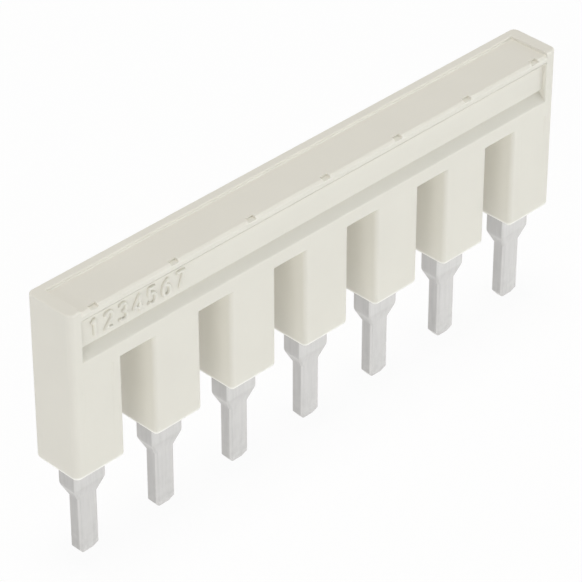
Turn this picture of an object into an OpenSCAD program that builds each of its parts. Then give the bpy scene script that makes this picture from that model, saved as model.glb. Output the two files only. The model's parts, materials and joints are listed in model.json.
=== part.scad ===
// Push-in jumper bar for rail-mount terminal blocks: a stamped comb of contact pins with an insulating
// comb-shaped body moulded round it.
// X runs along the row of poles, -Y is the front and +Z is up. The origin is the middle of the row, on the
// undersides of the legs.

/* [Row of poles] */
// Number of poles
poles = 7; // [2:1:12]
// Distance from one pole to the next
pitch = 6.2; // [5:0.1:8.2]

/* [Insulating body] */
// Depth of the body from front to back
body_d = 3.64; // [3.4:0.02:4.4]
// Height of the legs, from their undersides to the beam
leg_h = 7.26; // [5:0.02:9]
// Height of the beam above the legs
beam_h = 4.54; // [4.2:0.02:5.6]
// Width of a leg along the row
leg_w = 3.75; // [3.2:0.05:4.4]
// Distance from the centre of an end pole to the end face
end_margin = 1.97; // [1.7:0.01:2.3]
// Radius of the upright edges between the legs
leg_edge_r = 0.3; // [0.1:0.05:0.5]
// Radius of the upright edges at the two ends
end_edge_r = 0.42; // [0.1:0.02:0.7]
// Radius of the outer top edges
top_edge_r = 0.13; // [0.05:0.01:0.3]
// Radius of the edges under the legs
foot_edge_r = 0.28; // [0.1:0.02:0.5]

/* [Top and front of the beam] */
// Thickness of the end walls beside the recessed top and panel
end_wall = 0.9; // [0.5:0.02:1.2]
// Thickness of the rim behind the recessed top
back_rim = 0.64; // [0.4:0.02:1]
// Depth of the recessed top below the rim
top_recess = 0.2; // [0.1:0.05:0.4]
// Height of the lip along the front of the top
lip_h = 0.56; // [0.35:0.01:0.8]
// Chamfer along the lip's upper edge
lip_chamfer = 0.18; // [0.05:0.01:0.3]
// Depth of the front panel behind the lip
panel_recess = 0.29; // [0.1:0.01:0.45]
// Height of the front panel
panel_h = 2.01; // [1.4:0.01:2.3]
// Height of the sill below the tool groove
sill_h = 0.95; // [0.6:0.01:1.4]
// Depth of the tool groove under the panel
groove_d = 0.82; // [0.5:0.02:0.9]
// Width of a pole notch in the lip
notch_w = 0.6; // [0.3:0.05:1.2]
// Length of a pole notch from front to back
notch_l = 0.4; // [0.2:0.02:0.8]
// Depth of a pole notch
notch_d = 0.15; // [0.05:0.01:0.3]

/* [Marking field on the end legs] */
// Width of the field
mark_w = 2.66; // [1.5:0.02:2.8]
// Distance of the field's upper edge below the beam
mark_drop = 0.13; // [0.05:0.01:1]
// Depth of the field at its upper edge, running out to nothing at the foot
mark_recess = 0.055; // [0.02:0.005:0.12]

/* [Contact comb] */
// Thickness of the sheet that the comb is stamped from
stock_t = 1.42; // [1.1:0.02:1.6]
// Height of the bar that joins the pins
bar_h = 2.9; // [2:0.1:3.1]
// Thickness of the moulding under the bar, between the legs
bar_floor = 0.55; // [0.3:0.05:0.8]
// Width of a pin inside its leg
tine_w = 2.45; // [2.2:0.05:2.6]
// Radius of the upright edges there
tine_edge_r = 0.1; // [0.05:0.01:0.3]
// How far that width reaches below the leg
shoulder_len = 1.71; // [0.8:0.01:2.6]
// Radius of the shoulders above the taper
shoulder_r = 1; // [0.3:0.05:1]
// Length of the taper
taper_len = 0.96; // [0.5:0.01:1.5]
// Width of the plug-in end of a pin
pin_w = 1.51; // [1:0.01:1.7]
// Thickness of the plug-in end of a pin
pin_t = 0.97; // [0.7:0.01:1.05]
// Radius of the plug-in end's upright edges
pin_edge_r = 0.22; // [0.05:0.01:0.3]
// Length of a pin below its leg
pin_len = 6.91; // [5:0.01:9]
// Length of the tip's chamfers
tip_len = 0.39; // [0.1:0.01:0.8]
// How far the tip's chamfers cut into the pin's width, on each side
tip_side = 0.3; // [0.05:0.01:0.4]
// How far they cut into its thickness, on each face
tip_face = 0.2; // [0.05:0.01:0.3]

/* [Hidden] */
$fn = 48;

// Overrun of a cutting shape past the face that it cuts
past = 1;

// Places along the row
pole_xs = [for (i = [0 : poles - 1]) (i - (poles - 1) / 2) * pitch];
half_len = pole_xs[poles - 1] + end_margin;
half_d = body_d / 2;

// Heights, from the beam's underside up to the rim
sill_top = leg_h + sill_h;
body_top = leg_h + beam_h;
field_top = body_top - top_recess;
lip_low = field_top - lip_h;
panel_low = lip_low - panel_h;

// Places across the depth
panel_y = -half_d + panel_recess;
groove_y = -half_d + groove_d;
rim_y = half_d - back_rim;

// Contact comb
bar_low = leg_h + bar_floor;
taper_low = -shoulder_len - taper_len;
taper_angle = atan((tine_w - pin_w) / 2 / taper_len);
shoulder_run = shoulder_r * tan(taper_angle / 2);

function leg_left(i) = i == 0 ? -end_margin : -leg_w / 2;
function leg_right(i) = i == poles - 1 ? end_margin : leg_w / 2;
function left_edge_r(i) = i == 0 ? end_edge_r : leg_edge_r;
function right_edge_r(i) = i == poles - 1 ? end_edge_r : leg_edge_r;

// A rectangle with its own radius at each corner, in the order low left, low right, high right, high left
module rounded_rectangle(low, high, radii) {
    corners = [low, [high.x, low.y], high, [low.x, high.y]];
    inward = [[1, 1], [-1, 1], [-1, -1], [1, -1]];
    difference() {
        translate(low) square(high - low);
        for (i = [0 : 3])
            if (radii[i] > 0)
                translate(corners[i] + radii[i] / 2 * inward[i]) square(radii[i], center = true);
    }
    for (i = [0 : 3])
        if (radii[i] > 0)
            translate(corners[i] + radii[i] * inward[i]) circle(radii[i]);
}

// Extrude an outline drawn in X and Z along Y
module along_y(depth) {
    rotate([90, 0, 0]) linear_extrude(depth, center = true) children();
}

// Extrude an outline drawn in Y and Z along X
module along_x(length) {
    rotate([90, 0, 90]) linear_extrude(length, center = true) children();
}

// The beam and legs with their upright edges rounded
module upright_blank() {
    ends = [end_edge_r, end_edge_r, end_edge_r, end_edge_r];
    translate([0, 0, leg_h])
        linear_extrude(beam_h) rounded_rectangle([-half_len, -half_d], [half_len, half_d], ends);
    for (i = [0 : poles - 1])
        translate([pole_xs[i], 0, 0])
            linear_extrude(leg_h)
                rounded_rectangle([leg_left(i), -half_d], [leg_right(i), half_d],
                    [left_edge_r(i), right_edge_r(i), right_edge_r(i), left_edge_r(i)]);
}

// The comb outline from the front, which rounds the ends of the top and the sides of the feet
module front_outline() {
    rounded_rectangle([-half_len, leg_h], [half_len, body_top], [0, 0, top_edge_r, top_edge_r]);
    for (i = [0 : poles - 1])
        translate([pole_xs[i], 0])
            rounded_rectangle([leg_left(i), 0], [leg_right(i), leg_h + sill_h],
                [foot_edge_r, foot_edge_r, 0, 0]);
}

// The outline from the end, which rounds the top and the feet at the front and back
module end_outline() {
    rounded_rectangle([-half_d, 0], [half_d, body_top], [foot_edge_r, foot_edge_r, top_edge_r, top_edge_r]);
}

module body_blank() {
    intersection() {
        upright_blank();
        along_y(body_d + 2 * past) front_outline();
        along_x(2 * half_len + 2 * past) end_outline();
    }
}

// The recessed top, open to the front over a chamfered lip
module top_field_section() {
    polygon([
        [-half_d - past, field_top - lip_chamfer - past],
        [-half_d + lip_chamfer, field_top],
        [rim_y, field_top],
        [rim_y, body_top + past],
        [-half_d - past, body_top + past]
    ]);
}

// The recessed panel, and the groove that slopes up and back under its lower edge
module front_field_section() {
    groove_slope = (panel_low - sill_top) / groove_d;
    polygon([
        [-half_d - past, sill_top - past * groove_slope],
        [groove_y, panel_low],
        [panel_y, panel_low],
        [panel_y, lip_low],
        [-half_d - past, lip_low]
    ]);
}

// A notch over each pole, in the lip's upper edge
module pole_notches() {
    for (x = pole_xs)
        translate([x - notch_w / 2, -half_d - past, field_top - notch_d])
            cube([notch_w, past + notch_l, notch_d + past]);
}

// A shallow field down the front of each end leg
module marking_fields() {
    mark_top = leg_h - mark_drop;
    for (x = [pole_xs[0], pole_xs[poles - 1]])
        translate([x, 0, 0])
            along_x(mark_w)
                polygon([
                    [-half_d - past, foot_edge_r],
                    [-half_d, foot_edge_r],
                    [-half_d + mark_recess, mark_top],
                    [-half_d - past, mark_top]
                ]);
}

module insulating_body() {
    field_len = 2 * (half_len - end_wall);
    color("ivory")
        difference() {
            body_blank();
            along_x(field_len) top_field_section();
            along_x(field_len) front_field_section();
            pole_notches();
            marking_fields();
            comb_solid();
        }
}

// One pin from the front: shoulders with round corners, a taper, and a chamfered tip
module pin_front() {
    right = [
        [tine_w / 2, bar_low + bar_h / 2],
        [tine_w / 2, -shoulder_len + shoulder_run],
        [tine_w / 2 - shoulder_run * sin(taper_angle), -shoulder_len - shoulder_run * cos(taper_angle)],
        [pin_w / 2, taper_low],
        [pin_w / 2, -pin_len + tip_len],
        [pin_w / 2 - tip_side, -pin_len]
    ];
    count = len(right);
    left = [for (i = [1 : count]) [-right[count - i].x, right[count - i].y]];
    polygon(concat(right, left));
    for (side = [-1, 1])
        translate([side * (tine_w / 2 - shoulder_r), -shoulder_len + shoulder_run]) circle(shoulder_r);
}

// One pin from the side, coined thinner below the shoulders
module pin_side() {
    polygon([for (side = [1, -1], i = [0 : 4])
        let (
            step = side > 0 ? i : 4 - i,
            half = [stock_t / 2, stock_t / 2, pin_t / 2, pin_t / 2, pin_t / 2 - tip_face][step],
            height = [bar_low + bar_h / 2, -shoulder_len, taper_low, -pin_len + tip_len, -pin_len][step]
        )
        [side * half, height]
    ]);
}

// The pin's upright edges, seen from above: the stamped width, then the rounded plug-in end
module pin_edges() {
    tine = [tine_w, stock_t] / 2;
    plug = [pin_w, pin_t] / 2;
    tine_radii = [tine_edge_r, tine_edge_r, tine_edge_r, tine_edge_r];
    plug_radii = [pin_edge_r, pin_edge_r, pin_edge_r, pin_edge_r];
    translate([0, 0, taper_low])
        linear_extrude(bar_low + bar_h / 2 - taper_low) rounded_rectangle(-tine, tine, tine_radii);
    translate([0, 0, -pin_len])
        linear_extrude(pin_len + taper_low) rounded_rectangle(-plug, plug, plug_radii);
}

// The bar and its pins as one stamping
module comb_solid() {
    bar_half = pole_xs[poles - 1] + tine_w / 2;
    translate([-bar_half, -stock_t / 2, bar_low]) cube([2 * bar_half, stock_t, bar_h]);
    for (x = pole_xs)
        translate([x, 0, 0])
            intersection() {
                along_y(stock_t + 2 * past) pin_front();
                along_x(tine_w + 2 * past) pin_side();
                pin_edges();
            }
}

module contact_comb() {
    color("silver") comb_solid();
}

insulating_body();
contact_comb();
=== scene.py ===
"""Looks of a push-in jumper bar for terminal blocks: the moulded body with softened edges, the tin-plated
contact comb, raised pole numbers and a plain studio stage.

The file is laid out as an add-on and run as a script. Lengths are in metres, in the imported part's frame.
"""

import json
import math

import bmesh
import bpy
from bpy.props import FloatProperty, FloatVectorProperty, IntProperty, PointerProperty
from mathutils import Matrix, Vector


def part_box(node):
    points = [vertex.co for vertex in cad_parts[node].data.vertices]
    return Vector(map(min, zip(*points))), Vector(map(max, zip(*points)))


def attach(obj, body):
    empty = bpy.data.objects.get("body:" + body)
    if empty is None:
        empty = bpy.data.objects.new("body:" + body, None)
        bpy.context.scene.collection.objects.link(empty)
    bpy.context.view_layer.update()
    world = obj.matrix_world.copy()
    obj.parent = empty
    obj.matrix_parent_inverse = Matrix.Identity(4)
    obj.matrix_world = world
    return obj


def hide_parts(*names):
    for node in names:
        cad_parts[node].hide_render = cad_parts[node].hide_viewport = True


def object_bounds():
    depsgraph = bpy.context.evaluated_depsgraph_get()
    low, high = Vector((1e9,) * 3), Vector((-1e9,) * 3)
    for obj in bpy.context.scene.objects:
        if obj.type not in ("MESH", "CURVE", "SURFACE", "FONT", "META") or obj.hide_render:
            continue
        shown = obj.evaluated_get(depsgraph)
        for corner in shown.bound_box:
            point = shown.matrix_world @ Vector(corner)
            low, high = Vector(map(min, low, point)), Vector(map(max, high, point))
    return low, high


bl_info = {
    "name": "Jumper Bar Looks",
    "version": (1, 0, 0),
    "blender": (4, 5, 0),
    "location": "3D View > Sidebar > Jumper Bar",
    "description": "Finishes the body, contact comb and stage of a terminal block jumper bar",
    "category": "Object",
}

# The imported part, which everything below is fitted to
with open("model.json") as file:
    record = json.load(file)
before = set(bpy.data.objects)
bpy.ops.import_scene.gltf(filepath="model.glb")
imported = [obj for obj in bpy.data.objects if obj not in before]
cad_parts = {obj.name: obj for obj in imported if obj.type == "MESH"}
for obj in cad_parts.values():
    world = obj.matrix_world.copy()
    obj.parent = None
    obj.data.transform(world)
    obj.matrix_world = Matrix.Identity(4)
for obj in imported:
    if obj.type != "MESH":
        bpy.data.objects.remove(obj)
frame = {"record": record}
CAD_LOW, CAD_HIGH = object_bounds()
MM = 0.001
BODY_LOW, BODY_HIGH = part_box("insulating_body")
COMB_LOW, COMB_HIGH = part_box("contact_comb")
MOUNTS = {mount["name"]: mount for mount in frame["record"]["mounts"]}
PIN_ROW = MOUNTS["contact_pins"]["dims"]
POLES = PIN_ROW["count"]
PITCH = PIN_ROW["spacing_x_mm"] * MM
POLE_XS = [(i - (POLES - 1) / 2) * PITCH for i in range(POLES)]
TOP_FIELD_Z = MOUNTS["press_face"]["pos_m"][2]
# Differences smaller than this are rounding
TINY = 0.002 * MM
# How far a cutter reaches past the surface that it cuts
OVERCUT = 1.0 * MM
# Edges that stand out more than this are sharp
SHARP = math.radians(30)
# Points closer than this are one point, and faces that differ less than this are one face
SAME_POINT = 0.0002 * MM
SAME_FACE = math.radians(0.2)
# Edges of the body and of the comb that turn less than this are shaded as one surface
BODY_SMOOTH = math.radians(32)
COMB_SMOOTH = math.radians(28)


def length_prop(name, description, default):
    """A length in metres, shown in the scene's unit."""
    return FloatProperty(name=name, description=description, default=default, unit="LENGTH",
                         subtype="DISTANCE", precision=3)


def share_prop(name, description, default):
    """A share between 0 and 1."""
    return FloatProperty(name=name, description=description, default=default, min=0.0, max=1.0,
                         subtype="FACTOR")


def angle_prop(name, description, default):
    """An angle, in radians here and in the scene's unit on the panel."""
    return FloatProperty(name=name, description=description, default=default, unit="ROTATION",
                         subtype="ANGLE")


def power_prop(name, description, default):
    """A lamp's power in watts."""
    return FloatProperty(name=name, description=description, default=default, min=0.0, unit="POWER")


def colour_prop(name, description, default):
    """A linear colour."""
    return FloatVectorProperty(name=name, description=description, default=default, size=3,
                               subtype="COLOR", min=0.0, max=1.0)


class JumperBodySettings(bpy.types.PropertyGroup):
    """Form and finish of the moulded body."""
    leg_height: length_prop("Leg height", "Height of the legs under the beam", 7.26 * MM)
    leg_width: length_prop("Leg width", "Width of a leg along the row", 3.75 * MM)
    leg_edge: length_prop("Leg edge", "Radius of the legs' upright edges", 0.3 * MM)
    end_edge: length_prop("End edge", "Radius of the upright edges at both ends of the row", 0.42 * MM)
    top_edge: length_prop("Top edge", "Radius round the top", 0.13 * MM)
    foot_edge: length_prop("Foot edge", "Radius round the legs' undersides", 0.28 * MM)
    end_wall: length_prop("End wall", "Thickness of the wall at each end of the recesses", 0.9 * MM)
    back_rim: length_prop("Back rim", "Width of the rim behind the recessed top", 0.64 * MM)
    lip_height: length_prop("Lip height", "Height of the lip along the front of the top", 0.56 * MM)
    lip_chamfer: length_prop("Lip chamfer", "Chamfer along the lip's upper edge", 0.18 * MM)
    panel_recess: length_prop("Panel recess", "Depth of the front panel behind the lip", 0.29 * MM)
    panel_height: length_prop("Panel height", "Height of the front panel", 2.01 * MM)
    sill_height: length_prop("Sill height", "Height of the plain sill under the groove", 0.95 * MM)
    groove_depth: length_prop("Groove depth", "Depth of the sloping groove under the panel", 0.82 * MM)
    notch_width: length_prop("Notch width", "Width of a pole notch in the lip", 0.6 * MM)
    notch_length: length_prop("Notch length", "Length of a pole notch from front to back", 0.4 * MM)
    notch_depth: length_prop("Notch depth", "Depth of a pole notch", 0.15 * MM)
    mark_width: length_prop("Mark width", "Width of the marking field on an end leg", 2.66 * MM)
    mark_drop: length_prop("Mark drop", "Distance of a marking field below the beam", 0.13 * MM)
    mark_recess: length_prop("Mark recess", "Depth of a marking field at its upper end", 0.055 * MM)
    seam_rise: length_prop("Seam rise", "Height of the fine seam above the lip's lower edge", 0.06 * MM)
    seam_width: length_prop("Seam width", "Width of the fine seam along the lip", 0.035 * MM)
    seam_depth: length_prop("Seam depth", "Depth of the fine seam along the lip", 0.03 * MM)
    mould_radius: length_prop("Mould radius", "Rounding of the recesses' sharp edges", 0.05 * MM)
    rim_radius: length_prop("Rim radius", "Rounding of the rim behind the recessed top", 0.095 * MM)
    mark_radius: length_prop("Mark radius", "Rounding along a marking field's sides", 0.3 * MM)
    colour: colour_prop("Colour", "Colour of the plastic", (0.757, 0.735, 0.66))
    # Painted highlight: the near-white colour of the feet's lower edges stands in for the light from below
    highlight_colour: colour_prop("Worn colour", "Colour of the feet's worn edges", (0.97, 0.955, 0.9))
    mottle: share_prop("Mottle", "Strength of the cloudy colour variation", 0.012)
    roughness: share_prop("Roughness", "Mean roughness of the moulded surface", 0.52)


class JumperPinSettings(bpy.types.PropertyGroup):
    """Sections and finish of the contact comb."""
    shoulder_length: length_prop("Shoulder length", "Reach of the full width below the leg", 1.71 * MM)
    shoulder_radius: length_prop("Shoulder radius", "Radius of the shoulders above the taper", 1.0 * MM)
    taper_length: length_prop("Taper length", "Length of the taper below the shoulders", 0.96 * MM)
    plug_width: length_prop("Plug width", "Width of the plug-in end", 1.51 * MM)
    plug_thickness: length_prop("Plug thickness", "Thickness of the plug-in end", 0.97 * MM)
    plug_edge: length_prop("Plug edge", "Radius of the plug-in end's upright edges", 0.22 * MM)
    tine_edge: length_prop("Tine edge", "Radius of the upright edges at the full width", 0.1 * MM)
    tip_length: length_prop("Tip length", "Length of the tip's chamfers", 0.39 * MM)
    tip_side: length_prop("Tip side", "Depth of the tip's chamfer in the width", 0.3 * MM)
    tip_face: length_prop("Tip face", "Depth of the tip's chamfer in the thickness", 0.2 * MM)
    bar_height: length_prop("Bar height", "Height of the hidden bar that joins the pins", 2.9 * MM)
    corner_steps: IntProperty(name="Corner steps", description="Segments in each rounded corner",
                              default=6, min=2, max=16)
    colour: colour_prop("Colour", "Colour of the tin plating", (0.69, 0.68, 0.665))
    dark_colour: colour_prop("Dark colour", "Colour of the duller streaks", (0.62, 0.61, 0.595))
    roughness: share_prop("Roughness", "Mean roughness of the plating", 0.6)
    # Painted shade: how much the pins' sides are darkened, standing in for the shadowed floor that they
    # reflect
    painted_side_shade: share_prop("Cut sides", "Brightness of the stamped sides beside the faces", 0.84)
    metallic: share_prop("Metallic", "Share of metal in the dull plating", 1.0)


class JumperNumberSettings(bpy.types.PropertyGroup):
    """Raised pole numbers on the front panel."""
    height: length_prop("Height", "Height of a number between its strokes' middles", 1.12 * MM)
    width: length_prop("Width", "Width of a number between its strokes' middles", 0.58 * MM)
    stroke: length_prop("Stroke", "Radius of a number's round strokes", 0.115 * MM)
    relief: length_prop("Relief", "How far a number stands out of the panel", 0.17 * MM)
    grain: length_prop("Grain", "Size of the steps in which the strokes are merged", 0.028 * MM)
    base_z: length_prop("Base line", "Height of the numbers' lowest strokes", 9.46 * MM)
    first_x: length_prop("First", "Distance of the first number past the first pole", -0.25 * MM)
    step: length_prop("Step", "Distance from one number to the next", 1.12 * MM)


class JumperStageSettings(bpy.types.PropertyGroup):
    """Camera, lights and floor."""
    azimuth: angle_prop("Azimuth", "Camera's turn round the part", math.radians(-45))
    elevation: angle_prop("Elevation", "Camera's height angle", math.atan(math.sqrt(0.5)))
    view_angle: angle_prop("View angle", "Camera's field of view", math.radians(10))
    distance: length_prop("Distance", "Camera's distance from the point it looks at", 204.99 * MM)
    aim: FloatVectorProperty(name="Aim", description="Point that the camera looks at", size=3, unit="LENGTH",
                             subtype="XYZ", default=(0.151 * MM, 1.409 * MM, 1.699 * MM))
    sky: FloatProperty(name="Sky", description="Strength of the even surrounding light", default=0.34,
                       min=0.0)
    sky_back: FloatProperty(name="Back sky", description="Strength added towards the back", default=0.4,
                            min=0.0)
    left: power_prop("Left lamp", "Power of the low lamp at the left", 1.72)
    right: power_prop("Right lamp", "Power of the low lamp at the right", 0.95)
    front_right: power_prop("Front right lamp", "Power of the low lamp at the front right", 1.2)
    front: power_prop("Front lamp", "Power of the broad lamp in front", 0.68)
    top: power_prop("Top lamp", "Power of the small lamp overhead", 1.33)
    white: share_prop("White", "Share of plain white in the floor that is seen", 0.93)
    floor_colour: colour_prop("Floor", "Colour of the floor", (0.93, 0.93, 0.93))


class JumperSettings(bpy.types.PropertyGroup):
    """All settings of the jumper bar."""
    body: PointerProperty(type=JumperBodySettings)
    pins: PointerProperty(type=JumperPinSettings)
    numbers: PointerProperty(type=JumperNumberSettings)
    stage: PointerProperty(type=JumperStageSettings)


def settings():
    """The settings of the current scene."""
    return bpy.context.scene.jumper


# Modelling helpers

def deselect_all():
    """Leave nothing selected or active."""
    if bpy.context.object and bpy.context.object.mode != "OBJECT":
        bpy.ops.object.mode_set(mode="OBJECT")
    bpy.ops.object.select_all(action="DESELECT")


def make_active(obj):
    """Select one object only."""
    deselect_all()
    obj.hide_set(False)
    obj.select_set(True)
    bpy.context.view_layer.objects.active = obj


def name_new(name):
    """Name the object that an operator has just added."""
    obj = bpy.context.object
    obj.name = name
    obj.data.name = name
    return obj


def edit_select(obj, mode, test):
    """In edit mode, select the vertices, edges or faces that pass a test. Returns how many."""
    bpy.ops.mesh.select_mode(type=mode)
    bpy.ops.mesh.select_all(action="DESELECT")
    mesh = bmesh.from_edit_mesh(obj.data)
    found = 0
    for item in {"VERT": mesh.verts, "EDGE": mesh.edges, "FACE": mesh.faces}[mode]:
        if test(item):
            item.select_set(True)
            found += 1
    bmesh.update_edit_mesh(obj.data)
    return found


def apply_modifier(obj, kind, name, **values):
    """Add a modifier with these values and apply it."""
    make_active(obj)
    modifier = obj.modifiers.new(name, kind)
    for key, value in values.items():
        setattr(modifier, key, value)
    bpy.ops.object.modifier_apply(modifier=modifier.name)


def smooth_shading(obj, angle):
    """Smooth the rounded edges and keep the flat faces flat."""
    make_active(obj)
    bpy.ops.object.shade_smooth_by_angle(angle=angle)
    apply_modifier(obj, "WEIGHTED_NORMAL", "Flat faces first", keep_sharp=True, weight=50)


def finish_piece(obj, slot, material, *nodes):
    """Give a piece its material and its body, and hide the nodes that it stands for. The slot is not used."""
    obj.data.materials.clear()
    obj.data.materials.append(material)
    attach(obj, "root")
    if nodes:
        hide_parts(*nodes)
    deselect_all()


# Shader helpers

def new_group(name, inputs, outputs):
    """An empty shader node group with these sockets. Returns the group, its input and its output."""
    group = bpy.data.node_groups.new(name, "ShaderNodeTree")
    for socket, kind, default in inputs:
        made = group.interface.new_socket(socket, in_out="INPUT", socket_type=kind)
        if default is not None:
            made.default_value = default
    for socket, kind in outputs:
        group.interface.new_socket(socket, in_out="OUTPUT", socket_type=kind)
    return group, group.nodes.new("NodeGroupInput"), group.nodes.new("NodeGroupOutput")


def add_node(tree, kind, **values):
    """Add a node and set its own properties."""
    node = tree.nodes.new(kind)
    for key, value in values.items():
        setattr(node, key, value)
    return node


def link(tree, source, socket_out, target, socket_in):
    """Join two sockets by name or number."""
    tree.links.new(source.outputs[socket_out], target.inputs[socket_in])


def noise_node(tree, detail, roughness, scale=None):
    """A noise texture."""
    node = add_node(tree, "ShaderNodeTexNoise")
    node.inputs["Detail"].default_value = detail
    node.inputs["Roughness"].default_value = roughness
    if scale is not None:
        node.inputs["Scale"].default_value = scale
    return node


def grain_group():
    """Spark-eroded mould grain and cloudy mottle, from Object coordinates."""
    name = "Mould grain"
    if name in bpy.data.node_groups:
        return bpy.data.node_groups[name]
    group, into, out = new_group(
        name,
        [("Vector", "NodeSocketVector", None), ("Grain scale", "NodeSocketFloat", 6000.0),
         ("Mottle scale", "NodeSocketFloat", 260.0)],
        [("Grain", "NodeSocketFloat"), ("Mottle", "NodeSocketFloat")])
    grain = noise_node(group, detail=3.0, roughness=0.55)
    mottle = noise_node(group, detail=4.0, roughness=0.5)
    for node, socket in ((grain, "Grain scale"), (mottle, "Mottle scale")):
        link(group, into, "Vector", node, "Vector")
        link(group, into, socket, node, "Scale")
    link(group, grain, "Fac", out, "Grain")
    link(group, mottle, "Fac", out, "Mottle")
    return group


def height_patch_group():
    """A mask from nothing at one height to full at another, broken up by noise."""
    name = "Rubbed places"
    if name in bpy.data.node_groups:
        return bpy.data.node_groups[name]
    group, into, out = new_group(
        name,
        [("Vector", "NodeSocketVector", None), ("From height", "NodeSocketFloat", 0.0),
         ("To height", "NodeSocketFloat", 1.0), ("Patch scale", "NodeSocketFloat", 900.0),
         ("Patch start", "NodeSocketFloat", 0.42), ("Patch full", "NodeSocketFloat", 0.68)],
        [("Mask", "NodeSocketFloat")])
    parts = add_node(group, "ShaderNodeSeparateXYZ")
    ramp = add_node(group, "ShaderNodeMapRange", clamp=True)
    patches = noise_node(group, detail=5.0, roughness=0.6)
    contrast = add_node(group, "ShaderNodeMapRange", clamp=True)
    both = add_node(group, "ShaderNodeMath", operation="MULTIPLY")
    link(group, into, "Vector", parts, "Vector")
    link(group, parts, "Z", ramp, "Value")
    link(group, into, "From height", ramp, "From Min")
    link(group, into, "To height", ramp, "From Max")
    link(group, into, "Vector", patches, "Vector")
    link(group, into, "Patch scale", patches, "Scale")
    link(group, patches, "Fac", contrast, "Value")
    link(group, into, "Patch start", contrast, "From Min")
    link(group, into, "Patch full", contrast, "From Max")
    link(group, ramp, "Result", both, 0)
    link(group, contrast, "Result", both, 1)
    link(group, both, "Value", out, "Mask")
    return group


def place_group(tree, group, **values):
    """Put a node group into a material, with its own values."""
    node = add_node(tree, "ShaderNodeGroup", node_tree=group)
    for key, value in values.items():
        node.inputs[key.replace("_", " ")].default_value = value
    return node


def new_material(name):
    """A material with one Principled shader. Returns the material, its tree and the shader."""
    material = bpy.data.materials.new(name)
    material.use_nodes = True
    tree = material.node_tree
    return material, tree, tree.nodes["Principled BSDF"]


# Parts of a noise texture's range that are spread over a whole look
NOISE_BROAD = (0.3, 0.7)
NOISE_NARROW = (0.35, 0.65)
# Places of the Mix node's sockets, whose names are the same for colours and for values
COLOUR_A, COLOUR_B, COLOUR_OUT = 6, 7, 2
VALUE_A, VALUE_B, VALUE_OUT = 2, 3, 0


def mix_colours(tree, factor_node, factor_socket, low, high):
    """Mix two colours by a factor. Each is a colour or a node that mixes colours. Returns the node."""
    mix = add_node(tree, "ShaderNodeMix", data_type="RGBA", blend_type="MIX")
    link(tree, factor_node, factor_socket, mix, "Factor")
    for socket, value in ((COLOUR_A, low), (COLOUR_B, high)):
        if isinstance(value, bpy.types.Node):
            link(tree, value, COLOUR_OUT, mix, socket)
        else:
            mix.inputs[socket].default_value = (*value, 1.0)
    return mix


def add_bump(tree, shader, source, socket, strength, distance):
    """Give a shader a fine relief from a node's value."""
    bump = add_node(tree, "ShaderNodeBump")
    bump.inputs["Strength"].default_value = strength
    bump.inputs["Distance"].default_value = distance
    link(tree, source, socket, bump, "Height")
    link(tree, bump, "Normal", shader, "Normal")


def map_range(tree, node, socket, from_range, to_range):
    """Spread a value from one range over another."""
    spread = add_node(tree, "ShaderNodeMapRange", clamp=True)
    for name, value in zip(("From Min", "From Max", "To Min", "To Max"), (*from_range, *to_range)):
        spread.inputs[name].default_value = value
    link(tree, node, socket, spread, "Value")
    return spread


def shade(colour, factor):
    """A colour made lighter or darker."""
    return tuple(min(1.0, channel * factor) for channel in colour)


# Finishes of the pieces

def plastic_material():
    """Off-white polyamide: cloudy colour, fine mould grain, feet a little glossy from handling, and painted
    highlights near the feet.
    """
    name = "off_white_polyamide"
    if name in bpy.data.materials:
        return bpy.data.materials[name]
    s = settings().body
    base = tuple(s.colour)
    # Near the feet the colour is made a little lighter, a faint painted highlight, and the roughness lower, a
    # gloss from handling
    gloss_and_light_height = 1.2 * MM
    highlight_height = 0.32 * MM
    highlight_full = 0.19 * MM
    painted_foot_light = 1.03
    handled_gloss = 0.14
    rough_spread = 0.06
    material, tree, shader = new_material(name)
    where = add_node(tree, "ShaderNodeTexCoord")
    grain = place_group(tree, grain_group())
    low_patches = place_group(tree, height_patch_group(), From_height=gloss_and_light_height, To_height=0.0)
    # Painted highlight: the feet's lowest edges turn near-white, standing in for the light from below on
    # their roundings
    lit = place_group(tree, height_patch_group(), From_height=highlight_height, To_height=highlight_full, Patch_start=0.1,
                       Patch_full=0.4)
    for node in (grain, low_patches, lit):
        link(tree, where, "Object", node, "Vector")
    cloud = map_range(tree, grain, "Mottle", NOISE_BROAD, (0.0, 1.0))
    cloudy = mix_colours(tree, cloud, "Result", shade(base, 1 - s.mottle), shade(base, 1 + s.mottle))
    # Painted highlights: a faint one up the lower legs, then a near-white one along the feet's lower edges
    towards_bottom = mix_colours(tree, low_patches, "Mask", cloudy, shade(base, painted_foot_light))
    highlighted = mix_colours(tree, lit, "Mask", towards_bottom, tuple(s.highlight_colour))
    link(tree, highlighted, COLOUR_OUT, shader, "Base Color")
    rough = map_range(tree, grain, "Grain", NOISE_BROAD,
                      (s.roughness - rough_spread, s.roughness + rough_spread))
    rubbed_rough = add_node(tree, "ShaderNodeMix", data_type="FLOAT")
    link(tree, low_patches, "Mask", rubbed_rough, "Factor")
    link(tree, rough, "Result", rubbed_rough, VALUE_A)
    rubbed_rough.inputs[VALUE_B].default_value = s.roughness - handled_gloss
    link(tree, rubbed_rough, VALUE_OUT, shader, "Roughness")
    add_bump(tree, shader, grain, "Grain", strength=0.12, distance=0.01 * MM)
    shader.inputs["IOR"].default_value = 1.53
    return material


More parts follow.
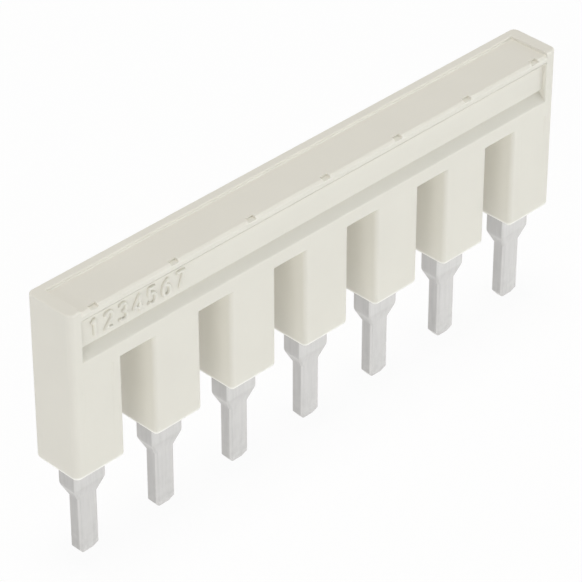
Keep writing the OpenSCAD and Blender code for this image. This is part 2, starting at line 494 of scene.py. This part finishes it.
def tin_material():
    """Satin tin plating: drawn streaks, a soft mottle, painted shade on the sides and tips darker towards the
    bottom.
    """
    name = "satin_tin_plate"
    if name in bpy.data.materials:
        return bpy.data.materials[name]
    s = settings().pins
    drawn_out = (1.0, 1.0, 0.06)
    dark_tip_height = 3.0 * MM
    streak_shade = 0.965
    cloud_shade = 1.03
    cloud_strength = 0.6
    rough_spread = 0.08
    side_start, side_full = 0.88, 0.98
    material, tree, shader = new_material(name)
    where = add_node(tree, "ShaderNodeTexCoord")
    stretch = add_node(tree, "ShaderNodeMapping")
    stretch.inputs["Scale"].default_value = drawn_out
    streaks = noise_node(tree, detail=6.0, roughness=0.65, scale=5200.0)
    grain = place_group(tree, grain_group(), Grain_scale=9000.0, Mottle_scale=900.0)
    low_patches = place_group(tree, height_patch_group(), From_height=COMB_LOW.z + dark_tip_height, To_height=COMB_LOW.z,
                      Patch_scale=2200.0)
    link(tree, where, "Object", stretch, "Vector")
    link(tree, stretch, "Vector", streaks, "Vector")
    for node in (grain, low_patches):
        link(tree, where, "Object", node, "Vector")
    streak = map_range(tree, streaks, "Fac", NOISE_NARROW, (0.0, 1.0))
    cloud = map_range(tree, grain, "Mottle", NOISE_NARROW, (0.0, cloud_strength))
    streaked = mix_colours(tree, streak, "Result", tuple(s.colour), shade(s.colour, streak_shade))
    clouded = mix_colours(tree, cloud, "Result", streaked, shade(s.colour, cloud_shade))
    towards_bottom = mix_colours(tree, low_patches, "Mask", clouded, tuple(s.dark_colour))
    # Painted shade: faces that point along X, the pins' sides, are darkened
    facing = add_node(tree, "ShaderNodeSeparateXYZ")
    link(tree, where, "Normal", facing, "Vector")
    sideways = add_node(tree, "ShaderNodeMath", operation="ABSOLUTE")
    link(tree, facing, "X", sideways, 0)
    shadowed = map_range(tree, sideways, "Value", (side_start, side_full), (1.0, s.painted_side_shade))
    sided = add_node(tree, "ShaderNodeVectorMath", operation="SCALE")
    link(tree, towards_bottom, COLOUR_OUT, sided, 0)
    link(tree, shadowed, "Result", sided, "Scale")
    link(tree, sided, "Vector", shader, "Base Color")
    rough = map_range(tree, streaks, "Fac", NOISE_BROAD,
                      (s.roughness - rough_spread, s.roughness + rough_spread))
    link(tree, rough, "Result", shader, "Roughness")
    add_bump(tree, shader, streaks, "Fac", strength=0.1, distance=0.005 * MM)
    shader.inputs["Metallic"].default_value = s.metallic
    return material


# Forming helpers

def bevel_edges(obj, width, segments, test):
    """In edit mode, round the edges that pass a test."""
    found = edit_select(obj, "EDGE", test)
    if not found:
        raise RuntimeError(f"{obj.name} has no edges for a radius of {width / MM:.3f} mm")
    bpy.ops.mesh.bevel(offset=width, segments=segments, profile=0.5, affect="EDGES", clamp_overlap=True)


def ends_of(edge):
    """The two end points of an edge."""
    return [vertex.co for vertex in edge.verts]


def both_at(edge, axis, value):
    """Whether both ends of an edge lie at a place along an axis."""
    return all(abs(point[axis] - value) < TINY for point in ends_of(edge))


def is_sharp(edge):
    """Whether an edge stands out and is sharp."""
    return edge.is_manifold and edge.is_convex and edge.calc_face_angle() > SHARP


def add_box(name, low, high):
    """A box between two corners."""
    deselect_all()
    low, high = Vector(low), Vector(high)
    bpy.ops.mesh.primitive_cube_add(size=1, location=(low + high) / 2, scale=high - low)
    bpy.ops.object.transform_apply(location=True, rotation=True, scale=True)
    return name_new(name)


def add_prism(name, section, low_x, high_x):
    """A section drawn in Y and Z, extruded along X."""
    deselect_all()
    bpy.ops.mesh.primitive_circle_add(vertices=len(section), radius=MM, fill_type="NGON")
    prism = name_new(name)
    bpy.ops.object.mode_set(mode="EDIT")
    mesh = bmesh.from_edit_mesh(prism.data)
    for vertex, (y, z) in zip(mesh.verts, section):
        vertex.co = (low_x, y, z)
    bmesh.update_edit_mesh(prism.data)
    bpy.ops.mesh.select_all(action="SELECT")
    bpy.ops.mesh.extrude_region_move(TRANSFORM_OT_translate={"value": (high_x - low_x, 0, 0)})
    bpy.ops.mesh.select_all(action="SELECT")
    bpy.ops.mesh.normals_make_consistent(inside=False)
    bpy.ops.object.mode_set(mode="OBJECT")
    return prism


def cut_away(obj, cutter):
    """Cut a shape out of a piece and delete the shape."""
    apply_modifier(obj, "BOOLEAN", "Cut", operation="DIFFERENCE", solver="EXACT", object=cutter)
    bpy.data.objects.remove(cutter)


# The contact comb

def rounded_ring(half_x, half_y, radius, steps):
    """Points round a rectangle with rounded corners, anticlockwise from the top of its right side."""
    points = []
    for quarter, (sx, sy) in enumerate(((1, 1), (-1, 1), (-1, -1), (1, -1))):
        for step in range(steps + 1):
            angle = math.radians(90) * (quarter + step / steps)
            points.append((sx * (half_x - radius) + radius * math.cos(angle),
                           sy * (half_y - radius) + radius * math.sin(angle)))
    return points


def pin_sections():
    """Sections of one pin from inside the bar down to the tip: half width, half thickness, edge, height."""
    s = settings().pins
    wide = COMB_HIGH.x - POLE_XS[-1]
    thick = COMB_HIGH.y
    plug_x = s.plug_width / 2
    plug_y = s.plug_thickness / 2
    taper_low = -s.shoulder_length - s.taper_length
    slope = math.atan((wide - plug_x) / s.taper_length)
    run = s.shoulder_radius * math.tan(slope / 2)
    arc_steps = 6

    def along_taper(z):
        return min(1.0, max(0.0, (-s.shoulder_length - z) / s.taper_length))

    def section(half_x, z):
        share = along_taper(z)
        half_y = thick + (plug_y - thick) * share
        edge = s.tine_edge + (s.plug_edge - s.tine_edge) * share
        return half_x, half_y, edge, z

    sections = [section(wide, COMB_HIGH.z - s.bar_height / 2)]
    for step in range(arc_steps + 1):
        turn = slope * step / arc_steps
        half_x = wide - s.shoulder_radius * (1 - math.cos(turn))
        z = -s.shoulder_length + run - s.shoulder_radius * math.sin(turn)
        sections.append(section(half_x, z))
    sections.append(section(plug_x, taper_low))
    tip_top = COMB_LOW.z + s.tip_length
    sections.append((plug_x, plug_y, s.plug_edge, tip_top))
    sections.append((plug_x - s.tip_side, plug_y - s.tip_face, s.plug_edge / 2, COMB_LOW.z))
    return sections


def loft_pin(name, sections, steps):
    """Extrude a ring from section to section and close both ends."""
    deselect_all()
    bpy.ops.mesh.primitive_circle_add(vertices=4 * (steps + 1), radius=1.0 * MM, fill_type="NGON")
    pin = name_new(name)
    bpy.ops.object.mode_set(mode="EDIT")
    bpy.ops.mesh.select_mode(type="VERT")
    bpy.ops.mesh.select_all(action="SELECT")
    for number, (half_x, half_y, edge, z) in enumerate(sections):
        if number:
            bpy.ops.mesh.extrude_region_move()
        mesh = bmesh.from_edit_mesh(pin.data)
        ring = [vertex for vertex in mesh.verts if vertex.select]
        ring.sort(key=lambda vertex: math.atan2(vertex.co.y, vertex.co.x) % (2 * math.pi))
        places = rounded_ring(half_x, half_y, edge, steps)
        places.sort(key=lambda place: math.atan2(place[1], place[0]) % (2 * math.pi))
        for vertex, (x, y) in zip(ring, places):
            vertex.co = (x, y, z)
        bmesh.update_edit_mesh(pin.data)
    bpy.ops.mesh.select_all(action="SELECT")
    bpy.ops.mesh.normals_make_consistent(inside=False)
    bpy.ops.object.mode_set(mode="OBJECT")
    return pin


class JUMPER_OT_contact_comb(bpy.types.Operator):
    """Loft one contact pin, copy it to every pole and join the row to the bar inside the body"""
    bl_idname = "jumper.contact_comb"
    bl_label = "Contact comb"

    def execute(self, context):
        s = settings().pins
        pin = loft_pin("pin_master", pin_sections(), s.corner_steps)
        bar_low = COMB_HIGH.z - s.bar_height
        comb = add_box("tin_plated_comb", (COMB_LOW.x, COMB_LOW.y, bar_low), COMB_HIGH)
        for number, x in enumerate(POLE_XS):
            make_active(pin)
            bpy.ops.object.duplicate()
            copy = name_new(f"pin_{number + 1}")
            copy.location.x = x
            bpy.ops.object.transform_apply(location=True, rotation=False, scale=False)
            apply_modifier(comb, "BOOLEAN", "Join pin", operation="UNION", solver="EXACT", object=copy)
            bpy.data.objects.remove(copy)
        bpy.data.objects.remove(pin)
        if not comb.data.polygons:
            raise RuntimeError("the comb has no faces")
        smooth_shading(comb, COMB_SMOOTH)
        finish_piece(comb, "tin_plate", tin_material(), "contact_comb")
        return {"FINISHED"}


# The moulded body

class JUMPER_OT_moulded_body(bpy.types.Operator):
    """Extrude the legs, round the edges, and cut the comb's pocket, the recesses and the small details"""
    bl_idname = "jumper.moulded_body"
    bl_label = "Moulded body"

    def execute(self, context):
        s = settings().body
        body = self.beam_and_legs(s)
        self.round_blank(body, s)
        self.cut_pocket(body)
        self.cut_recesses(body, s)
        self.cut_details(body, s)
        make_active(body)
        bpy.ops.object.mode_set(mode="EDIT")
        bpy.ops.mesh.select_all(action="SELECT")
        bpy.ops.mesh.remove_doubles(threshold=SAME_POINT)
        bpy.ops.mesh.dissolve_limited(angle_limit=SAME_FACE)
        bpy.ops.object.mode_set(mode="OBJECT")
        smooth_shading(body, BODY_SMOOTH)
        finish_piece(body, "body_plastic", plastic_material(), "insulating_body")
        return {"FINISHED"}

    def beam_and_legs(self, s):
        """A beam with a leg extruded down at every pole."""
        half = s.leg_width / 2
        body = add_box("moulded_body", (BODY_LOW.x, BODY_LOW.y, s.leg_height), BODY_HIGH)
        cuts = [x + side * half for x in POLE_XS for side in (-1, 1)][1:-1]
        bpy.ops.object.mode_set(mode="EDIT")
        for x in cuts:
            bpy.ops.mesh.select_all(action="SELECT")
            bpy.ops.mesh.bisect(plane_co=(x, 0, 0), plane_no=(1, 0, 0))

        def over_leg(face):
            middle = face.calc_center_median()
            faces_down = face.normal.z < -0.9
            return faces_down and any(abs(middle.x - x) < half for x in POLE_XS)

        def beam_seam(edge):
            inside = any(both_at(edge, 0, x) for x in cuts)
            return inside and any(point.z > s.leg_height + TINY for point in ends_of(edge))

        edit_select(body, "FACE", over_leg)
        bpy.ops.mesh.extrude_region_move(TRANSFORM_OT_translate={"value": (0, 0, -s.leg_height)})
        edit_select(body, "EDGE", beam_seam)
        bpy.ops.mesh.dissolve_edges(use_verts=True)
        return body

    def round_blank(self, body, s):
        """The roundings of the upright edges, the feet and the top."""
        end_x = BODY_HIGH.x

        def upright(edge):
            first, second = ends_of(edge)
            return (first - second).xy.length < TINY

        def at_end(edge):
            return upright(edge) and all(abs(abs(point.x) - end_x) < TINY for point in ends_of(edge))

        def on_leg(edge):
            low = all(point.z < s.leg_height + TINY for point in ends_of(edge))
            return upright(edge) and low and is_sharp(edge)

        def on_foot(edge):
            return both_at(edge, 2, BODY_LOW.z)

        def on_top(edge):
            return both_at(edge, 2, BODY_HIGH.z)

        bevel_edges(body, s.end_edge, segments=8, test=at_end)
        bevel_edges(body, s.leg_edge, segments=6, test=on_leg)
        bevel_edges(body, s.foot_edge, segments=6, test=on_foot)
        bevel_edges(body, s.top_edge, segments=5, test=on_top)
        bpy.ops.object.mode_set(mode="OBJECT")

    def cut_pocket(self, body):
        """The room that the contact comb fills, cut with a copy of the finished comb."""
        make_active(bpy.data.objects["tin_plated_comb"])
        bpy.ops.object.duplicate()
        # The comb's own shading would spread into the body through the cut
        bpy.ops.mesh.customdata_custom_splitnormals_clear()
        cut_away(body, name_new("pocket_cutter"))

    def cut_recesses(self, body, s):
        """The recessed top over a chamfered lip, and the panel over a sloping groove."""
        front = BODY_LOW.y
        outside = front - OVERCUT
        above = BODY_HIGH.z + OVERCUT
        inner = BODY_HIGH.x - s.end_wall
        rim = BODY_HIGH.y - s.back_rim
        lip_low = TOP_FIELD_Z - s.lip_height
        panel_low = lip_low - s.panel_height
        sill_top = s.leg_height + s.sill_height
        slope = (panel_low - sill_top) / s.groove_depth
        top = [(outside, TOP_FIELD_Z - s.lip_chamfer - OVERCUT), (front + s.lip_chamfer, TOP_FIELD_Z),
               (rim, TOP_FIELD_Z), (rim, above), (outside, above)]
        panel = front + s.panel_recess
        face = [(outside, sill_top - OVERCUT * slope), (front + s.groove_depth, panel_low),
                (panel, panel_low), (panel, lip_low), (outside, lip_low)]
        for name, section in (("top_cutter", top), ("front_cutter", face)):
            cut_away(body, add_prism(name, section, -inner, inner))

        def rim_edge(edge):
            first, second = ends_of(edge)
            return both_at(edge, 1, rim) and abs(first.x - second.x) > MM

        # Edges too short for the rounding stay sharp, because their faces would fold
        def recess_edge(edge):
            ends = ends_of(edge)
            long_enough = edge.calc_length() >= 2 * s.mould_radius
            past_comb = any(abs(point.y) > COMB_HIGH.y + TINY for point in ends)
            over_legs = all(point.z > s.leg_height - TINY for point in ends)
            return long_enough and past_comb and over_legs and is_sharp(edge)

        make_active(body)
        bpy.ops.object.mode_set(mode="EDIT")
        mesh = bmesh.from_edit_mesh(body.data)
        weight = mesh.edges.layers.float.new("bevel_weight_edge")
        for edge in mesh.edges:
            if rim_edge(edge):
                edge[weight] = 1.0
            elif recess_edge(edge):
                edge[weight] = s.mould_radius / s.rim_radius
        bmesh.update_edit_mesh(body.data)
        bpy.ops.object.mode_set(mode="OBJECT")
        apply_modifier(body, "BEVEL", "Round recesses", limit_method="WEIGHT", width=s.rim_radius, segments=4,
                       use_clamp_overlap=False)

    def cut_details(self, body, s):
        """A notch over every pole, a fine seam along the lip, and a shallow marking field on each end leg."""
        front = BODY_LOW.y
        outside = front - OVERCUT
        inner = BODY_HIGH.x - s.end_wall
        half_notch = s.notch_width / 2
        half_mark = s.mark_width / 2
        notch_low = TOP_FIELD_Z - s.notch_depth
        notch_back = front + s.notch_length
        seam_low = TOP_FIELD_Z - s.lip_height + s.seam_rise
        mark_top = s.leg_height - s.mark_drop
        mark = [(outside, s.foot_edge), (front, s.foot_edge), (front + s.mark_recess, mark_top),
                (outside, mark_top)]

        def side_edge(edge):
            first, second = ends_of(edge)
            inside = min(first.y, second.y) > front - TINY
            return inside and abs(first.x - second.x) < TINY and abs(first.z - second.z) > MM

        for x in POLE_XS:
            cut_away(body, add_box("notch_cutter", (x - half_notch, outside, notch_low),
                                   (x + half_notch, notch_back, TOP_FIELD_Z + OVERCUT)))
        cut_away(body, add_box("seam_cutter", (-inner, outside, seam_low),
                               (inner, front + s.seam_depth, seam_low + s.seam_width)))
        for x in (POLE_XS[0], POLE_XS[-1]):
            cutter = add_prism("mark_cutter", mark, x - half_mark, x + half_mark)
            bpy.ops.object.mode_set(mode="EDIT")
            bevel_edges(cutter, s.mark_radius, segments=6, test=side_edge)
            bpy.ops.object.mode_set(mode="OBJECT")
            cut_away(body, cutter)


# The pole numbers

# Points added along each part of a stroke, and steps in its round section
STROKE_CUTS = 11
STROKE_ROUND = 3


def bow(middle, radii, start, end, steps=12):
    """Points along a part of an ellipse, between two angles in degrees."""
    points = []
    for step in range(steps + 1):
        angle = math.radians(start + (end - start) * step / steps)
        points.append((middle[0] + radii[0] * math.cos(angle), middle[1] + radii[1] * math.sin(angle)))
    return points


def number_strokes():
    """The line that a pen follows for each number from 1 on, in a square of side 1."""
    return (
        [(0.15, 0.8), (0.6, 1.0), (0.6, 0.0)],
        bow((0.5, 0.72), (0.5, 0.28), 165, -38) + [(0.0, 0.0), (1.0, 0.0)],
        bow((0.46, 0.76), (0.46, 0.24), 155, -90) + bow((0.46, 0.26), (0.54, 0.26), 90, -155),
        [(0.76, 0.0), (0.76, 1.0), (-0.04, 0.25), (1.08, 0.25)],
        [(0.92, 1.0), (0.12, 1.0), (0.06, 0.55)] + bow((0.46, 0.33), (0.54, 0.33), 125, -150),
        bow((0.94, 0.33), (0.94, 0.67), 98, 180) + bow((0.5, 0.33), (0.5, 0.33), 180, 540, steps=20)[1:],
        [(0.0, 1.0), (1.0, 1.0), (0.35, 0.0)],
    )


class JUMPER_OT_pole_numbers(bpy.types.Operator):
    """Raise a plain number with round strokes for every pole on the front panel"""
    bl_idname = "jumper.pole_numbers"
    bl_label = "Pole numbers"

    def execute(self, context):
        s = settings().numbers
        middle_y = BODY_LOW.y + settings().body.panel_recess + s.stroke - s.relief
        strokes = number_strokes()
        if POLES > len(strokes):
            raise RuntimeError(f"{POLES} poles, but only {len(strokes)} numbers are drawn")
        made = []
        for number in range(POLES):
            low_x = POLE_XS[0] + s.first_x + number * s.step
            line = [Vector((low_x + x * s.width, middle_y, s.base_z + z * s.height))
                    for x, z in strokes[number]]
            made.append(self.round_stroke(f"number_{number + 1}", line, s.stroke))
        make_active(made[0])
        for piece in made:
            piece.select_set(True)
        bpy.ops.object.join()
        numbers = name_new("pole_numbers")
        apply_modifier(numbers, "REMESH", "Merge strokes", mode="VOXEL", voxel_size=s.grain)
        apply_modifier(numbers, "SMOOTH", "Even out", factor=0.5, iterations=2)
        make_active(numbers)
        bpy.ops.object.shade_smooth()
        finish_piece(numbers, "body_plastic", plastic_material())
        return {"FINISHED"}

    def round_stroke(self, name, line, radius):
        """A closed round stroke along a line of points."""
        deselect_all()
        bpy.ops.mesh.primitive_plane_add(size=MM, location=line[0])
        bpy.ops.object.transform_apply(location=True, rotation=True, scale=True)
        name_new(name)
        bpy.ops.object.mode_set(mode="EDIT")
        bpy.ops.mesh.select_mode(type="VERT")
        bpy.ops.mesh.select_all(action="SELECT")
        bpy.ops.mesh.merge(type="CENTER")
        for before, after in zip(line, line[1:]):
            bpy.ops.mesh.extrude_region_move(TRANSFORM_OT_translate={"value": after - before})
        bpy.ops.mesh.select_all(action="SELECT")
        bpy.ops.mesh.subdivide(number_cuts=STROKE_CUTS)
        bpy.ops.object.mode_set(mode="OBJECT")
        bpy.ops.object.convert(target="CURVE")
        pen = bpy.context.object
        pen.data.bevel_depth = radius
        pen.data.bevel_resolution = STROKE_ROUND
        pen.data.use_fill_caps = True
        bpy.ops.object.convert(target="MESH")
        return bpy.context.object


# The stage

FLOOR_WIDTH = 6.0
PALE_BLUE = (0.97, 0.985, 1.0)
COOL_WHITE = (0.95, 0.985, 1.0)
WARM_WHITE = (1.0, 0.975, 0.94)
# The setting that holds each lamp's power, its place, its width and its tint
LAMPS = (
    ("left", (-0.57, -0.28, 0.05), 0.3, PALE_BLUE),
    ("right", (0.58, -0.27, 0.03), 0.3, COOL_WHITE),
    ("front_right", (0.4, -0.5, 0.03), 0.3, COOL_WHITE),
    ("front", (0.1, -0.63, 0.2), 0.6, COOL_WHITE),
    ("top", (0.0, 0.03, 0.6), 0.2, WARM_WHITE),
)


def floor_material():
    """Pale floor that looks white to the camera and in reflections, and keeps a part of the shadow."""
    s = settings().stage
    material, tree, shader = new_material("studio_floor")
    shader.inputs["Base Color"].default_value = (*s.floor_colour, 1.0)
    shader.inputs["Roughness"].default_value = 0.9
    shader.inputs["Specular IOR Level"].default_value = 0.0
    rays = add_node(tree, "ShaderNodeLightPath")
    mirrored = add_node(tree, "ShaderNodeMath", operation="ADD", use_clamp=True)
    looked_through = add_node(tree, "ShaderNodeMath", operation="ADD", use_clamp=True)
    share = add_node(tree, "ShaderNodeMath", operation="MULTIPLY")
    share.inputs[1].default_value = s.white
    glow = add_node(tree, "ShaderNodeEmission")
    mix = add_node(tree, "ShaderNodeMixShader")
    link(tree, rays, "Is Camera Ray", mirrored, 0)
    link(tree, rays, "Is Glossy Ray", mirrored, 1)
    link(tree, mirrored, "Value", looked_through, 0)
    link(tree, rays, "Is Transmission Ray", looked_through, 1)
    link(tree, looked_through, "Value", share, 0)
    link(tree, share, "Value", mix, "Fac")
    link(tree, shader, "BSDF", mix, 1)
    link(tree, glow, "Emission", mix, 2)
    link(tree, mix, "Shader", tree.nodes["Material Output"], "Surface")
    return material


def studio_world(s):
    """Even white light that grows towards the back."""
    world = bpy.data.worlds.new("even_studio")
    world.use_nodes = True
    tree = world.node_tree
    sky = tree.nodes["Background"]
    sky.inputs["Color"].default_value = (1.0, 1.0, 1.0, 1.0)
    where = add_node(tree, "ShaderNodeTexCoord")
    facing = add_node(tree, "ShaderNodeVectorMath", operation="DOT_PRODUCT")
    facing.inputs[1].default_value = (0.0, 1.0, 0.0)
    behind = add_node(tree, "ShaderNodeMath", operation="MAXIMUM")
    behind.inputs[1].default_value = 0.0
    grown = add_node(tree, "ShaderNodeMath", operation="MULTIPLY_ADD")
    grown.inputs[1].default_value = s.sky_back
    grown.inputs[2].default_value = s.sky
    link(tree, where, "Generated", facing, 0)
    link(tree, facing, "Value", behind, 0)
    link(tree, behind, "Value", grown, 0)
    link(tree, grown, "Value", sky, "Strength")
    return world


def studio_lamp(name, place, size, power, colour):
    """A square lamp that faces the part."""
    deselect_all()
    bpy.ops.object.light_add(type="AREA", location=place)
    lamp = name_new(name)
    lamp.data.shape = "SQUARE"
    lamp.data.size = size
    lamp.data.energy = power
    lamp.data.color = colour
    lamp.rotation_euler = (-Vector(place)).to_track_quat("-Z", "Y").to_euler()


class JUMPER_OT_stage(bpy.types.Operator):
    """Set out the floor, the surrounding light, the lamps and the camera"""
    bl_idname = "jumper.stage"
    bl_label = "Stage"

    def execute(self, context):
        s = settings().stage
        deselect_all()
        bpy.ops.mesh.primitive_plane_add(size=FLOOR_WIDTH, location=(0, 0, CAD_LOW.z))
        bpy.ops.object.transform_apply(location=True, rotation=True, scale=True)
        floor = name_new("studio_floor")
        floor.data.materials.append(floor_material())

        context.scene.world = studio_world(s)
        for setting, place, width, tint in LAMPS:
            studio_lamp(f"{setting}_lamp", place, width, getattr(s, setting), tint)

        back = Vector((math.sin(s.azimuth) * math.cos(s.elevation),
                       -math.cos(s.azimuth) * math.cos(s.elevation), math.sin(s.elevation)))
        deselect_all()
        bpy.ops.object.camera_add(location=Vector(s.aim) + s.distance * back)
        camera = name_new("photo_camera")
        camera.rotation_euler = (math.radians(90) - s.elevation, 0.0, s.azimuth)
        camera.data.angle = s.view_angle
        camera.data.clip_start = 0.01
        camera.data.clip_end = 20.0
        context.scene.camera = camera
        context.scene.view_settings.view_transform = "Standard"
        deselect_all()
        return {"FINISHED"}


# The add-on

class JUMPER_PT_sidebar(bpy.types.Panel):
    """Lists the pieces of the jumper bar and the stage."""
    bl_idname = "JUMPER_PT_sidebar"
    bl_label = "Jumper Bar"
    bl_space_type = "VIEW_3D"
    bl_region_type = "UI"
    bl_category = "Jumper Bar"

    def draw(self, context):
        for operator in OPERATORS:
            self.layout.operator(operator.bl_idname)


OPERATORS = (JUMPER_OT_contact_comb, JUMPER_OT_moulded_body, JUMPER_OT_pole_numbers, JUMPER_OT_stage)
GROUPS = (JumperBodySettings, JumperPinSettings, JumperNumberSettings, JumperStageSettings, JumperSettings)


def register():
    for cls in (*GROUPS, *OPERATORS, JUMPER_PT_sidebar):
        bpy.utils.register_class(cls)
    bpy.types.Scene.jumper = PointerProperty(type=JumperSettings)


def unregister():
    del bpy.types.Scene.jumper
    for cls in reversed((*GROUPS, *OPERATORS, JUMPER_PT_sidebar)):
        bpy.utils.unregister_class(cls)


def main():
    register()
    bpy.ops.jumper.contact_comb()
    bpy.ops.jumper.moulded_body()
    bpy.ops.jumper.pole_numbers()
    bpy.ops.jumper.stage()


if __name__ == "__main__":
    main()
